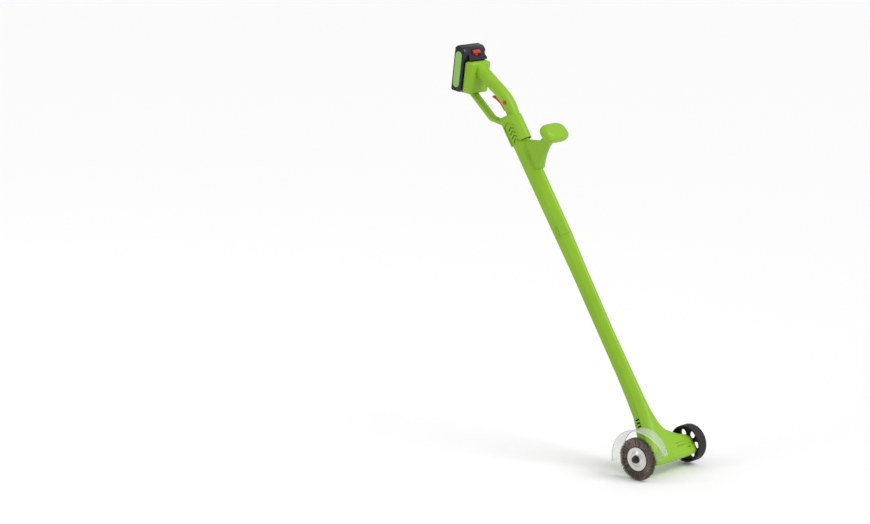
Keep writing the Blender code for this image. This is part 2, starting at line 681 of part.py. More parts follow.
# Each row: front point (y, z), rear point, left and right half widths, left and right crowns,
# left and right powers, rear facet. The powers square the casing's ends off.
def head_stations():
    rows = []
    for s, front, back, half_width, crown, facet in (
        (668.0, 19.5, -15.1, 13.8, 12.6, 4.0),
        (JOINT_S, 19.5, -15.1, 13.8, 12.6, 4.0),
        (JOINT_S - 0.1, 23.1, -18.2, 16.9, 14.9, 6.0),
        (604.0, 23.0, -18.2, 16.8, 14.8, 6.0),
        (520.0, 20.1, -18.0, 15.5, 13.5, 6.0),
        (370.0, 17.6, -19.4, 15.0, 13.0, 6.0),
        (260.0, 18.8, -19.8, 16.0, 13.0, 7.0),
        (200.0, 19.2, -21.8, 18.2, 14.0, 8.5),
        (160.0, 19.5, -22.6, 22.2, 15.0, 10.0),
    ):
        front_point, rear_point = tube_point(s, front), tube_point(s, back)
        rows.append((
            front_point, rear_point, half_width, half_width, crown, crown, TUBE_CROWN_POWER, TUBE_CROWN_POWER, facet,
        ))
    rows += [
        ((14, 118), (55, 99), 27, 31, 15, 17, 2.2, 2.2, 11),
        ((7, 107), (50, 89), 30.5, 38, 15, 18, 2.4, 2.4, 11),
        ((1.5, 98), (46, 81.5), 33.5, 47, 14, 18, 2.6, 2.6, 11),
        ((-4, 90), (43, 76.5), 36, 58, 13, 15, 3.0, 3.0, 10),
        ((-9, 82.5), (41, 72.5), 38.5, 72, 12, 13, 3.4, 3.6, 9),
        ((-14, 75), (39, 68.5), 40.5, 96, 11, 10, 4.0, 6.0, 9),
        ((-18, 69.5), (38.2, 65.2), 41.8, 101, 10, 7, 4.5, 7.0, 8.5),
        ((-22, 64), (37.5, 62), 43, 102, 9, 5.5, 5.0, 7.0, 8),
        ((-30, 54), (36.5, 53), 44.5, HEAD_RIGHT_X, 7, 4.5, 6.0, 8.0, 8),
        ((-36.5, 44), (36, 42), HEAD_LEFT_X, HEAD_RIGHT_X, 5, 4, 7.0, 8.0, 7),
        ((-35, 36.5), (35, 33), 44.6, 101.8, 5, 4, 7.0, 8.0, 7),
        ((-29, 31), (30, 27.5), 41, 97, 6, 6, 7.0, 8.0, 7),
    ]
    return rows


def head_strip(row, side):
    (front_y, front_z), (rear_y, rear_z), left, right, crown_left, crown_right, power_left, power_right, facet = row
    half_width, crown, power = (left, crown_left, power_left) if side < 0 else (right, crown_right, power_right)
    depth = math.hypot(rear_y - front_y, rear_z - front_z)
    section = half_section(half_width, crown, depth, facet, power, 7, 1.0 + 0.18 * max(power - 2.0, 0.0))
    strip = []
    for x, back in section:
        f = back / depth
        strip.append((side * x, front_y + (rear_y - front_y) * f, front_z + (rear_z - front_z) * f))
    return strip


def build_head_shells():
    spindle_hole = cylinder("spindle_hole", 8.5, 16, None, AXLE, (-45, 0, 0), (0, 90, 0), 24)
    guard_hole = cylinder("guard_hole", 2.1, 12, None, AXLE, (-44, GUARD_SCREW[0], GUARD_SCREW[1]), (0, 90, 0), 12)
    vents = [
        box(f"vent_{i}", (10, 12, 3.8), None, TUBE, (-24, 4.5, 133.0 + 8.0 * i))
        for i in range(3)
    ]
    lock_window = box(
        "spigot_window", (8, LOCK_PAD[0] + 0.8, LOCK_PAD[1] + 0.8), None, TUBE, (-13, LOCK_Y, LOCK_S)
    )
    grooves = [
        box(f"groove_{i}", (48, 3.0, 3.2), None, TUBE, (59 + 2 * i, -19.2, 51.5 + 8.0 * i), rounding=1.2, segments=2)
        for i in range(3)
    ]
    boss = cylinder("axle_boss", 8.0, 16, None, AXLE, (93.6, 0, 0), (0, 90, 0), 24)
    axle_hole = cylinder("axle_hole", 4.3, 24, None, AXLE, (95, 0, 0), (0, 90, 0), 24)
    for name, side in (("head_shell_left", -1), ("head_shell_right", 1)):
        strips = [head_strip(row, side) for row in head_stations()]
        shell = half_shell(name, strips, "green", MACHINE, close_last=True)
        if side < 0:
            cut(shell, spindle_hole, guard_hole, lock_window, *vents)
        else:
            join(shell, boss)
            cut(shell, axle_hole, *grooves)
        for screw_name in ("head_screw_1", "head_screw_2", "head_screw_3"):
            post = screw_post(screw_name)
            boolean(post, half_space(f"{name}_{screw_name}", side), "INTERSECT")
            join(shell, post)
            cut(shell, *screw_holes(screw_name))


# ---------------------------------------------------------------- drive

CONE_DISTANCE = 15.0  # from the meeting point of the two gear axes to the middle of the teeth
PINION_PITCH = CONE_DISTANCE * PINION_TEETH / GEAR_TEETH


def toothed_circle(teeth, tip_share, phase=0.0):
    """(angle, is_tip) round a wheel, four points a tooth; tip_share is the tooth's share of the pitch at its tip."""
    pitch = 2 * math.pi / teeth
    points = []
    for i in range(teeth):
        for offset, is_tip in (
            (-0.5 * tip_share, True), (0.5 * tip_share, True), (0.5 - 0.23, False), (0.5 + 0.23, False),
        ):
            points.append((phase + pitch * (i + offset), is_tip))
    return points


def build_drive_gear():
    """A face bevel gear round the spindle, teeth towards +X; its frame's Z is turned onto the spindle."""
    circle = toothed_circle(GEAR_TEETH, 0.26, math.pi / GEAR_TEETH)
    tip, root = -(PINION_PITCH - 0.6), -(PINION_PITCH + 0.9)
    rows = []
    for radius in (11.0, 15.6):
        scale = radius / CONE_DISTANCE
        rows.append([(radius, (tip if is_tip else root) * scale) for _, is_tip in circle])
    for corner in ((15.6, -8.0), (7.5, -12.0), (4.3, -12.0), (4.3, -4.6), (9.5, -4.6)):
        rows.append([corner] * len(circle))
    bm = bmesh.new()
    loops = [
        [
            bm.verts.new((x, -radius * math.sin(angle + MESH_ANGLE), radius * math.cos(angle + MESH_ANGLE)))
            for (radius, x), (angle, _) in zip(row, circle)
        ]
        for row in rows
    ]
    for low, high in zip(loops, loops[1:] + loops[:1]):
        for i in range(len(low)):
            j = (i + 1) % len(low)
            bm.faces.new((low[i], low[j], high[j], high[i]))
    place("drive_gear", finish_mesh("drive_gear", bm, 30.0), "steel", AXLE)


def build_pinion():
    circle = toothed_circle(PINION_TEETH, 0.2)
    rings = []
    for distance in (11.6, 18.6):
        scale = distance / CONE_DISTANCE
        rings.append([
            (
                (PINION_PITCH + (0.6 if is_tip else -0.9)) * scale * math.cos(angle),
                (PINION_PITCH + (0.6 if is_tip else -0.9)) * scale * math.sin(angle),
                distance,
            )
            for angle, is_tip in circle
        ])
    rings.append([(3.2 * math.cos(angle), 3.2 * math.sin(angle), 19.4) for angle, _ in circle])
    rings.append([(3.2 * math.cos(angle), 3.2 * math.sin(angle), 23.0) for angle, _ in circle])
    pinion = loft("motor_pinion", rings, "steel", MOTOR)
    cut(pinion, cylinder("pinion_bore", 1.9, 30, None, MOTOR, (0, 0, 17), sides=16))


def build_gear_housing():
    profile = [
        (17.4, -1.6), (17.4, -16.5), (13.4, -18.5), (13.4, -39.6), (11, -39.6), (11, -31.6), (9, -31.6), (9, -24.6),
        (11, -24.6), (11, -15.6), (16.1, -15.6), (16.1, -1.6),
    ]
    housing = turned("gear_housing", profile, "black", AXLE, rotation=(0, 90, 0), steps=28)
    neck = cylinder("motor_neck", 9.0, 17.5, None, MOTOR, (0, 0, 25.5), sides=24)
    mount = cylinder("motor_mount", 15.5, 3.4, None, MOTOR, (0, 0, 34.7), sides=24)
    join(neck, mount)
    join(housing, neck)
    cut(housing, cylinder("pinion_hole", 7.5, 34, None, MOTOR, (0, 0, 25), sides=20))


def build_motor():
    turned(
        "motor_can",
        [(16, 81.5), (16, 36.8), (2.2, 36.8), (2.2, 38.4), (14.6, 38.4), (14.6, 81.5)],
        "steel", MOTOR,
    )
    turned("motor_end_cap", [(14.8, 90), (16, 88.8), (16, 81.8), (2.2, 81.8), (2.2, 90)], "black", MOTOR)
    turned(
        "motor_shaft",
        [(0, 87), (1.6, 87), (1.6, 76), (10.5, 76), (10.5, 44), (1.6, 44), (1.6, 12.4), (0, 12.4)],
        "steel", MOTOR, steps=24, closed=False,
    )
    lead(
        "motor_lead",
        [
            (0, 51.5, 140), (0, 57, 150), (0, *tube_point(190, 8)), (0, *tube_point(260, 6)),
            (0, *tube_point(380, 7)), (0, *tube_point(500, 9)), (0, *tube_point(600, 8)),
            (0, *tube_point(690, 5.3)), (0, *tube_point(800, 5.3)), (0, *tube_point(870, 9)),
            (4, 450, 782), (8, 461, 799), (8, 470, 813), (3, 479.2, 825),
        ],
        1.8, "copper_lead", MACHINE,
    )


def build_spindle():
    turned(
        "spindle",
        [
            (0, -3), (4, -3), (4, -43.5), (7, -46.5), (7, -66), (9, -67), (9, -70.6), (4, -70.6), (4, -90.5),
            (3.3, -91.5), (0, -91.5),
        ],
        "steel", AXLE, rotation=(0, 90, 0), steps=24, closed=False,
    )
    for name, low in (("spindle_bearing_inner", -24.3), ("spindle_bearing_outer", -39.2)):
        ring(name, 10.7, 4.3, low, low + 7, "steel", AXLE, rotation=(0, 90, 0))


def build_brush():
    turned(
        "brush_bristles",
        [
            (BRUSH_RADIUS, -69.5), (BRUSH_RADIUS, -80.5), (47, -81.5), (28.2, -77.1), (14, -76.9), (14, -73.3),
            (28.2, -73.1), (47, -68.5),
        ],
        "wire", AXLE, rotation=(0, 90, 0), steps=48,
    )
    turned(
        "brush_plate_inner",
        [
            (27.5, -71.6), (27.5, -72.8), (17.2, -72.8), (12.3, -72.1), (4.3, -72.1), (4.3, -70.9), (12, -70.9),
            (17, -71.6),
        ],
        "steel", AXLE, rotation=(0, 90, 0),
    )
    turned(
        "brush_plate_outer",
        [
            (27.5, -77.4), (27.5, -78.6), (17, -78.6), (12, -82.5), (4.3, -82.5), (4.3, -81.3), (11.5, -81.3),
            (16.5, -77.4),
        ],
        "steel", AXLE, rotation=(0, 90, 0),
    )
    nut = cylinder("spindle_nut", 7.5, 5.6, "black", AXLE, (-85.6, 0, 0), (0, 90, 0), 6)
    cut(nut, cylinder("nut_bore", 4.3, 20, None, AXLE, (-85.6, 0, 0), (0, 90, 0), 24))


# ---------------------------------------------------------------- guard

GUARD_SCREW = (-25.0, -4.0)  # from the spindle
GUARD_FAR_X = -46.8
GUARD_THICKNESS = 2.0
WEB_OUTLINE = [(-60, 14), (-58, 28), (-46, 32), (-22, 12), (-15, -2), (-19, -12), (-30, -12)]


def guard_near_x(angle):
    """The strip's free edge: narrow at its front end, and past the brush from the top backwards."""
    share = min(max((angle - 14.0) / 90.0, 0.0), 1.0)
    return -57.0 - 28.0 * (1 - (1 - share) ** 2)


def build_guard():
    rows = []
    for step in range(19):
        angle = 14.0 + (180.0 - 14.0) * step / 18
        near = guard_near_x(angle)
        y = -math.cos(math.radians(angle))
        z = math.sin(math.radians(angle))
        rows.append([
            (GUARD_FAR_X, GUARD_RADIUS * y, GUARD_RADIUS * z),
            (near + 2.0, GUARD_RADIUS * y, GUARD_RADIUS * z),
            (near, (GUARD_RADIUS + 1.6) * y, (GUARD_RADIUS + 1.6) * z),
        ])
    rows.append([(x, y, z - 16.5) for x, y, z in rows[-1]])
    bm = bmesh.new()
    verts = [[bm.verts.new(point) for point in row] for row in rows]
    for low, high in zip(verts, verts[1:]):
        for i in range(2):
            bm.faces.new((low[i], low[i + 1], high[i + 1], high[i]))
    guard = place("brush_guard", finish_mesh("brush_guard", bm), "clear", AXLE)
    solid = guard.modifiers.new("sheet", "SOLIDIFY")
    solid.thickness = GUARD_THICKNESS * MM
    solid.offset = 0.0
    solid.use_even_offset = True
    block = box("guard_block", (12, 8, 13), None, AXLE, (-53, -58.5, 22), (-20, 0, 0), rounding=1.0)
    web = plate("guard_web", WEB_OUTLINE, 2.0, None, AXLE, (-48.0, 0, 0))
    join(guard, block, web)
    y, z = GUARD_SCREW
    cut(guard, cylinder("guard_screw_hole", 2.1, 12, None, AXLE, (-48, y, z), (0, 90, 0), 12))
    turned(
        "guard_screw",
        [(0, -38), (1.7, -39), (1.7, -49.3), (3.4, -49.3), (3.4, -50.6), (2.4, -51.6), (0, -51.8)],
        "steel", AXLE, (0, y, z), (0, 90, 0), 16, closed=False,
    )


# ---------------------------------------------------------------- wheel

def build_wheel():
    low = WHEEL_X - WHEEL_WIDTH / 2
    high = WHEEL_X + WHEEL_WIDTH / 2
    rim = WHEEL_RADIUS - 4.0  # inside of the tread
    wheel = turned(
        "wheel",
        [
            (WHEEL_RADIUS - 1.2, high), (WHEEL_RADIUS, high - 2), (WHEEL_RADIUS, low + 2),
            (WHEEL_RADIUS - 1.2, low), (rim, low), (rim - 0.6, 107), (12, 107), (12, 103.3), (4.4, 103.3),
            (4.4, 121), (11, 121), (11.6, 112), (rim - 0.6, 112), (rim + 0.2, high),
        ],
        "rubber", AXLE, rotation=(0, 90, 0), steps=40,
    )
    bm = bmesh.new()
    for i in range(6):
        angle = 2 * math.pi * (i + 0.5) / 6
        bmesh.ops.create_cone(
            bm, cap_ends=True, segments=14, radius1=1.0, radius2=1.0, depth=20,
            matrix=Matrix.Rotation(angle, 4, "Z") @ Matrix.Translation((25.6, 0, 109.5))
            @ Matrix.Diagonal((9.2, 7.8, 1.0, 1.0)),
        )
    holes = place("wheel_holes", finish_mesh("wheel_holes", bm), None, AXLE, rotation=(0, 90, 0))
    cut(wheel, holes)
    turned(
        "wheel_bolt",
        [(0, 126), (6, 126), (7.5, 125), (7.5, 122.6), (4, 122.6), (4, 88.5), (0, 87.5)],
        "steel", AXLE, rotation=(0, 90, 0), steps=32, closed=False,
    )
    ring("wheel_washer", 9.0, 4.4, 121.3, 122.3, "steel", AXLE, rotation=(0, 90, 0))


# ---------------------------------------------------------------- battery

# The pack's frame: x across, y = -distance from its back face, z = distance from its lower end.
CASE_SPLIT = 14.0
LOWER_CASE = [(0, 4), (-3, 0.6), (-CASE_SPLIT + 0.15, 0), (-CASE_SPLIT + 0.15, BATTERY_LENGTH), (-6, BATTERY_LENGTH), (0, 104)]
UPPER_CASE = [
    (-CASE_SPLIT - 0.15, 0), (-27, 0.5), (-32, 6), (-32, 36), (-44, 36), (-44, 79), (-45.6, 81),
    (-44.6, 85), (-40.5, 89), (-28, 105), (-22, 109), (-CASE_SPLIT - 0.15, BATTERY_LENGTH),
]
LABEL_LENGTH = 87.0
LABEL_HEIGHT = 20.0
LABEL_AT = (-14.5, 53.5)
BUTTON_AT = (-34.0, 95.4)
BUTTON_TILT = 32.0  # the button's face from the vertical of the pack
BUTTON_SIZE = (24.0, 9.0, 13.0)


def stadium(length, height, centre):
    """(y, z) points of a label with round ends, its length along z."""
    radius = height / 2
    straight = length / 2 - radius
    points = []
    for end in (0, 1):
        for i in range(17):
            angle = math.pi * (end + i / 16)
            y = centre[0] + radius * math.cos(angle)
            z = centre[1] + (-straight if end else straight) + radius * math.sin(angle)
            points.append((y, z))
    return points


def build_battery_case():
    label_pocket = stadium(LABEL_LENGTH + 1, LABEL_HEIGHT + 1, LABEL_AT)
    pockets = [
        plate(f"label_pocket_{side}", label_pocket, 2.0, None, BATTERY, (side * (BATTERY_WIDTH / 2 + 0.4), 0, 0))
        for side in (-1, 1)
    ]
    lower = plate("battery_case_lower", LOWER_CASE, BATTERY_WIDTH, "black", BATTERY)
    bevel(lower, 2.2, 2, 50)
    lower_bore = box("lower_bore", (BATTERY_WIDTH - 5, 14, BATTERY_LENGTH - 6), None, BATTERY, (0, -9.4, BATTERY_LENGTH / 2))
    cut(lower, lower_bore, *pockets)

    upper = plate("battery_case_upper", UPPER_CASE, BATTERY_WIDTH, "navy", BATTERY)
    bevel(upper, 2.2, 2, 50)
    upper_bore = box("upper_bore", (BATTERY_WIDTH - 5, 18, 98), None, BATTERY, (0, -18.5, 53))
    board_bore = box("board_bore", (BATTERY_WIDTH - 5, 20, 76), None, BATTERY, (0, -19.5, 42.5))
    # The rail and the collar are narrower than the case, and the rail is undercut.
    for side in (-1, 1):
        beside_rail = box(
            f"beside_rail_{side}", (20, 24, 46.6), None, BATTERY, (side * (RAIL_WIDTH / 2 + 10), -32 - 12, 55.9)
        )
        undercut = box(
            f"undercut_{side}", (8, 5.0, 47.0), None, BATTERY, (side * (RAIL_WIDTH / 2), -32 - 2.5, 55.9)
        )
        beside_collar = box(
            f"beside_collar_{side}", (14, 20, 42), None, BATTERY, (side * (30 + 7), -32 - 10, 95), (0, 0, side * 24)
        )
        cut(upper, beside_rail, undercut, beside_collar)
    slots = [
        box(f"contact_slot_{x}", (2.4, 9, 26), None, BATTERY, (x, -40.2, 46))
        for x in (-9, 0, 9)
    ]
    well_size = [size + 2 * (GAP + 0.1) for size in BUTTON_SIZE]
    well = box("button_well", (well_size[0], 16, well_size[2]), None, BATTERY, (0, *BUTTON_AT), (BUTTON_TILT, 0, 0))
    latch_well = box("latch_well", (12.8, 14, 9.4), None, BATTERY, (0, -38.6, 68.6))
    arm_channel = box("arm_channel", (9, 6.2, 26), None, BATTERY, (0, -34.6, 80.0))
    cut(upper, upper_bore, board_bore, well, latch_well, arm_channel, *slots, *pockets)
    box("battery_end_cover", (30, 17, 4.0), "black", BATTERY, (0, -16, -2.3), rounding=1.0)


def build_battery_trim():
    for name, side in (("battery_label_left", -1), ("battery_label_right", 1)):
        outline = stadium(LABEL_LENGTH, LABEL_HEIGHT, LABEL_AT)
        plate(name, outline, 0.7, "label", BATTERY, (side * (BATTERY_WIDTH / 2 - 0.1), 0, 0))
    button = box("battery_release", BUTTON_SIZE, "red", BATTERY, (0, *BUTTON_AT), (BUTTON_TILT, 0, 0), rounding=1.2)
    arm = box("release_arm", (8, 2.6, 27.5), None, BATTERY, (0, -36.1, 79.75))
    tooth = box("release_tooth", (12, 10.0, 6.6), None, BATTERY, (0, -40.0, 68.0), rounding=0.8)
    join(button, arm, tooth)
    spring("release_spring", 2.6, 0.4, 5.0, 3, "steel", BATTERY, (0, -22.0, 95.5), (90, 0, 0))
    for i in range(5):
        z = 14.6 + CELL_PITCH * i
        cylinder(f"battery_cell_{i + 1}", CELL_RADIUS, CELL_LENGTH, "cell", BATTERY, (0, -12.1, z), (0, 90, 0), 24)
    box("battery_circuit_board", (60, 1.6, 56), "board", BATTERY, (0, -24.0, 46))
    box("battery_terminal_block", (28, 4.1, 8), "black", BATTERY, (0, -27.15, 60))


def main():
    build_handle()
    build_trigger()
    build_dock_terminals()
    build_upper_tube()
    build_tube_lock()
    build_assist_knob()
    build_head_shells()
    for name in SCREWS:
        screw(name)
    build_drive_gear()
    build_pinion()
    build_gear_housing()
    build_motor()
    build_spindle()
    build_brush()
    build_guard()
    build_wheel()
    build_battery_case()
    build_battery_trim()


main()
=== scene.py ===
import json
import math
import random

import bmesh
import bpy
from mathutils import Matrix, Vector


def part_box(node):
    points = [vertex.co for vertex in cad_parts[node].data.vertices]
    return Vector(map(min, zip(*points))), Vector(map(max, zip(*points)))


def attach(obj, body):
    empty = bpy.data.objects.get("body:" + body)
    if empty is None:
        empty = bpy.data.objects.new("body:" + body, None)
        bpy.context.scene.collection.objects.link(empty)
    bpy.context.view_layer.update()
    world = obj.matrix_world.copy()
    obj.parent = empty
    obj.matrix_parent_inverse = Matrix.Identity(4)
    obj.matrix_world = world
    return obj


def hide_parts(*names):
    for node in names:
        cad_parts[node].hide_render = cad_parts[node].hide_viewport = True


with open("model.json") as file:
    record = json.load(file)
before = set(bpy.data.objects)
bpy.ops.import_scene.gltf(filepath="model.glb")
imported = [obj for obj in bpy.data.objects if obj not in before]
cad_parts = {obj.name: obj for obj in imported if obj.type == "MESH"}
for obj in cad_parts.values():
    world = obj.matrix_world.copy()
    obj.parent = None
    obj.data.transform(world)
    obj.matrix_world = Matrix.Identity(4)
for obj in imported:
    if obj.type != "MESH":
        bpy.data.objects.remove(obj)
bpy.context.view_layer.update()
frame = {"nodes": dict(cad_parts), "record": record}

# The cordless weed brush's looks. Lengths are in metres, in the row frame: the origin is the middle of the
# grip, +Z up, -Y forward, the brush on the -X side and the wheel on the +X side. Profiles are in millimetres.

NODES = frame["nodes"]
MM = 0.001
WELD_DISTANCE = 0.000002
CAMERA_PLACE = (-4.3443, -3.9643, 0.8170)
CAMERA_HEADING = 43.85
CAMERA_PITCH = 11.877
CAMERA_LENS = 103.45

# Places that the model's own pieces give.
wheel_low, wheel_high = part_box("wheel")
WHEEL_CENTRE = (wheel_low + wheel_high) / 2
brush_low, brush_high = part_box("brush_bristles")
BRUSH_CENTRE = (brush_low + brush_high) / 2
BRUSH_RADIUS = (brush_high.z - brush_low.z) / 2
BRUSH_WIDTH = brush_high.x - brush_low.x
WHEEL_RADIUS = (wheel_high.z - wheel_low.z) / 2
FLOOR_Z = min(brush_low.z, wheel_low.z)
bpy.context.scene.view_settings.view_transform = "Standard"


# ---------------------------------------------------------------- materials

def new_material(name):
    material = bpy.data.materials.new(name)
    material.use_nodes = True
    nodes = material.node_tree.nodes
    return material, nodes, material.node_tree.links, nodes["Principled BSDF"]


def add_noise(nodes, links, scale, detail=3.0, stretch=(1, 1, 1)):
    """A noise in the object's own coordinates, which are the row frame's."""
    coordinates = nodes.new("ShaderNodeTexCoord")
    mapping = nodes.new("ShaderNodeMapping")
    mapping.inputs["Scale"].default_value = stretch
    links.new(coordinates.outputs["Object"], mapping.inputs["Vector"])
    noise = nodes.new("ShaderNodeTexNoise")
    noise.inputs["Scale"].default_value = scale
    noise.inputs["Detail"].default_value = detail
    links.new(mapping.outputs["Vector"], noise.inputs["Vector"])
    return noise


def add_range(nodes, links, source, low, high):
    """source from 0..1 onto low..high."""
    spread = nodes.new("ShaderNodeMapRange")
    spread.inputs["To Min"].default_value = low
    spread.inputs["To Max"].default_value = high
    links.new(source, spread.inputs["Value"])
    return spread.outputs["Result"]


def surface(
    name, colour, roughness, grain=900.0, grain_depth=0.05, variation=0.06, metallic=0.0,
    stretch=(1, 1, 1), coat=0.0, specular=0.5,
):
    """A moulded or metal surface: grain in the bump, slow drift in the colour, smudges in the roughness."""
    material, nodes, links, shader = new_material(name)
    drift = add_noise(nodes, links, 14.0, 4.0)
    ramp = nodes.new("ShaderNodeValToRGB")
    dark = [channel * (1 - variation) for channel in colour]
    light = [min(channel * (1 + variation), 1.0) for channel in colour]
    ramp.color_ramp.elements[0].position = 0.3
    ramp.color_ramp.elements[0].color = (*dark, 1)
    ramp.color_ramp.elements[1].position = 0.7
    ramp.color_ramp.elements[1].color = (*light, 1)
    links.new(drift.outputs["Fac"], ramp.inputs["Fac"])
    links.new(ramp.outputs["Color"], shader.inputs["Base Color"])
    smudge = add_noise(nodes, links, 45.0, 5.0, stretch)
    links.new(
        add_range(nodes, links, smudge.outputs["Fac"], roughness * 0.82, min(roughness * 1.18, 1.0)),
        shader.inputs["Roughness"],
    )
    fine = add_noise(nodes, links, grain, 2.0, stretch)
    bump = nodes.new("ShaderNodeBump")
    bump.inputs["Strength"].default_value = grain_depth
    bump.inputs["Distance"].default_value = 0.0003
    links.new(fine.outputs["Fac"], bump.inputs["Height"])
    links.new(bump.outputs["Normal"], shader.inputs["Normal"])
    shader.inputs["Metallic"].default_value = metallic
    shader.inputs["Coat Weight"].default_value = coat
    shader.inputs["Coat Roughness"].default_value = 0.12
    shader.inputs["Specular IOR Level"].default_value = specular
    return material


def clear_plastic(name, face_on, grazing):
    """Clear plastic whose opacity goes from face_on to grazing as the surface turns away."""
    material, nodes, links, shader = new_material(name)
    shader.inputs["Base Color"].default_value = (0.70, 0.72, 0.72, 1)
    haze = add_noise(nodes, links, 60.0, 4.0)
    links.new(add_range(nodes, links, haze.outputs["Fac"], 0.06, 0.16), shader.inputs["Roughness"])
    weight = nodes.new("ShaderNodeLayerWeight")
    weight.inputs["Blend"].default_value = 0.45
    links.new(add_range(nodes, links, weight.outputs["Facing"], face_on, grazing), shader.inputs["Alpha"])
    shader.inputs["IOR"].default_value = 1.5
    return material


GREEN = surface("casing_green", (0.235, 0.450, 0.016), 0.42, variation=0.04, specular=0.32)
NAVY = surface(
    "battery_shell", (0.004, 0.006, 0.014), 0.26, grain=1400, grain_depth=0.06, specular=0.4, coat=0.1,
)
BLACK = surface("black_plastic", (0.006, 0.006, 0.007), 0.42, grain=1400, grain_depth=0.1, specular=0.35)
RED = surface("red_plastic", (0.50, 0.014, 0.010), 0.30, coat=0.15)
LABEL = surface("label_film", (0.23, 0.46, 0.09), 0.26, grain=300, grain_depth=0.02, coat=0.2)
STEEL = surface("zinc_steel", (0.62, 0.62, 0.60), 0.30, grain=700, grain_depth=0.05, metallic=1.0)
TURNED_STEEL = surface("turned_steel", (0.66, 0.65, 0.62), 0.34, grain=900, metallic=0.9, stretch=(6, 1, 1))
WIRE = surface("bristle_wire", (0.30, 0.245, 0.205), 0.42, grain=500, metallic=0.6, variation=0.6)
# The bristle core's near-black colour is painted shade: it stands for the shade deep inside the packed wires, whose
# own colour is the wire's.
WIRE_PAINTED_SHADE_CORE = surface("bristle_core_painted_shade", (0.030, 0.022, 0.018), 0.75, grain=500, metallic=0.2, variation=0.4)
RUBBER = surface(
    "wheel_rubber", (0.017, 0.0135, 0.012), 0.58, grain=1600, grain_depth=0.2, variation=0.15, specular=0.3,
)
DARK_STEEL = surface("dark_steel", (0.045, 0.042, 0.040), 0.36, grain=700, metallic=0.6)
BRASS = surface("brass", (0.72, 0.50, 0.20), 0.3, metallic=1.0)
LEAD = surface("insulation", (0.30, 0.02, 0.02), 0.5)
BOARD = surface("circuit_board", (0.015, 0.14, 0.05), 0.4)
CELL = surface("cell_sleeve", (0.03, 0.16, 0.38), 0.3, coat=0.3)
CLEAR = clear_plastic("clear_guard", 0.10, 0.36)
CLEAR_EDGE = clear_plastic("clear_guard_edge", 0.55, 0.85)

SLOT_MATERIALS = {
    "casing": GREEN, "battery_shell": NAVY, "black_plastic": BLACK, "red_plastic": RED, "labels": LABEL,
    "steel": STEEL, "bristles": WIRE, "guard": CLEAR, "wheel": RUBBER, "contacts": BRASS, "leads": LEAD,
    "board": BOARD, "cells": CELL,
}


# ---------------------------------------------------------------- the CAD pieces that stay

def smooth_cad(obj, angle=32.0):
    """Smooth shading with sharp edges: marks the edges whose faces meet at more than angle, and welds the
    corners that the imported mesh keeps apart. No vertex moves."""
    mesh = obj.data
    places = {}
    index = [places.setdefault(tuple(round(c * 1e6) for c in v.co), len(places)) for v in mesh.vertices]
    normals = {}
    for polygon in mesh.polygons:
        corners = [index[v] for v in polygon.vertices]
        for a, b in zip(corners, corners[1:] + corners[:1]):
            normals.setdefault((min(a, b), max(a, b)), []).append(polygon.normal)
    limit = math.cos(math.radians(angle))
    sharp = [True] * len(mesh.edges)
    for i, edge in enumerate(mesh.edges):
        a, b = index[edge.vertices[0]], index[edge.vertices[1]]
        found = normals.get((min(a, b), max(a, b)), [])
        sharp[i] = len(found) != 2 or found[0].dot(found[1]) < limit
    attribute = mesh.attributes.get("sharp_edge") or mesh.attributes.new("sharp_edge", "BOOLEAN", "EDGE")
    attribute.data.foreach_set("value", sharp)
    mesh.polygons.foreach_set("use_smooth", [True] * len(mesh.polygons))
    custom = mesh.attributes.get("custom_normal")
    if custom:
        mesh.attributes.remove(custom)
    weld = obj.modifiers.new("weld", "WELD")
    weld.merge_threshold = WELD_DISTANCE


def paint_cad():
    slots = {part["node"]: part["material_slot"] for part in frame["record"]["subparts"]}
    for name, obj in NODES.items():
        material = SLOT_MATERIALS[slots[name]]
        obj.data.materials.clear()
        obj.data.materials.append(DARK_STEEL if name == "spindle" else material)
        smooth_cad(obj)


# ---------------------------------------------------------------- building blocks for new pieces

def piece(name, mesh, material, body, replaced=()):
    obj = bpy.data.objects.new(name, mesh)
    bpy.context.scene.collection.objects.link(obj)
    mesh.materials.append(material)
    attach(obj, body)
    if replaced:
        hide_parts(*replaced)
    return obj


def mesh_from(name, points, faces, smooth_angle=35.0):
    mesh = bpy.data.meshes.new(name)
    mesh.from_pydata([tuple(point) for point in points], [], faces)
    bm = bmesh.new()
    bm.from_mesh(mesh)
    bmesh.ops.recalc_face_normals(bm, faces=bm.faces)
    bm.to_mesh(mesh)
    bm.free()
    mesh.shade_smooth()
    mesh.set_sharp_from_angle(angle=math.radians(smooth_angle))
    return mesh


def lathe(profile, centre, steps=96):
    """(points, faces) of a closed (radius, x) profile turned about the X axis through centre."""
    points, faces = [], []
    for i in range(steps):
        angle = 2 * math.pi * i / steps
        for radius, x in profile:
            r = radius * MM
            points.append((x * MM, centre.y + r * math.cos(angle), centre.z + r * math.sin(angle)))
    count = len(profile)
    for i in range(steps):
        j = (i + 1) % steps
        for k in range(count):
            m = (k + 1) % count
            if profile[k][0] == 0 and profile[m][0] == 0:
                continue
            faces.append((i * count + k, i * count + m, j * count + m, j * count + k))
    return points, faces


def rounded(profile, radius, steps=3):
    """The closed profile with its corners rounded off."""
    result = []
    count = len(profile)
    for i, corner in enumerate(profile):
        here = Vector(corner)
        before = Vector(profile[i - 1]) - here
        after = Vector(profile[(i + 1) % count]) - here
        if here.x <= 0.001 or before.length < 1e-6 or after.length < 1e-6:
            result.append(corner)
            continue
        reach = min(radius, before.length * 0.45, after.length * 0.45)
        a = here + before.normalized() * reach
        b = here + after.normalized() * reach
        for k in range(steps + 1):
            t = k / steps
            result.append(tuple((1 - t) ** 2 * a + 2 * t * (1 - t) * here + t * t * b))
    return result


def turned_piece(name, profile, centre, material, body, replaced, rounding=0.4, steps=96):
    points, faces = lathe(rounded(profile, rounding), centre, steps)
    return piece(name, mesh_from(name, points, faces, 28.0), material, body, replaced)


# ---------------------------------------------------------------- brush

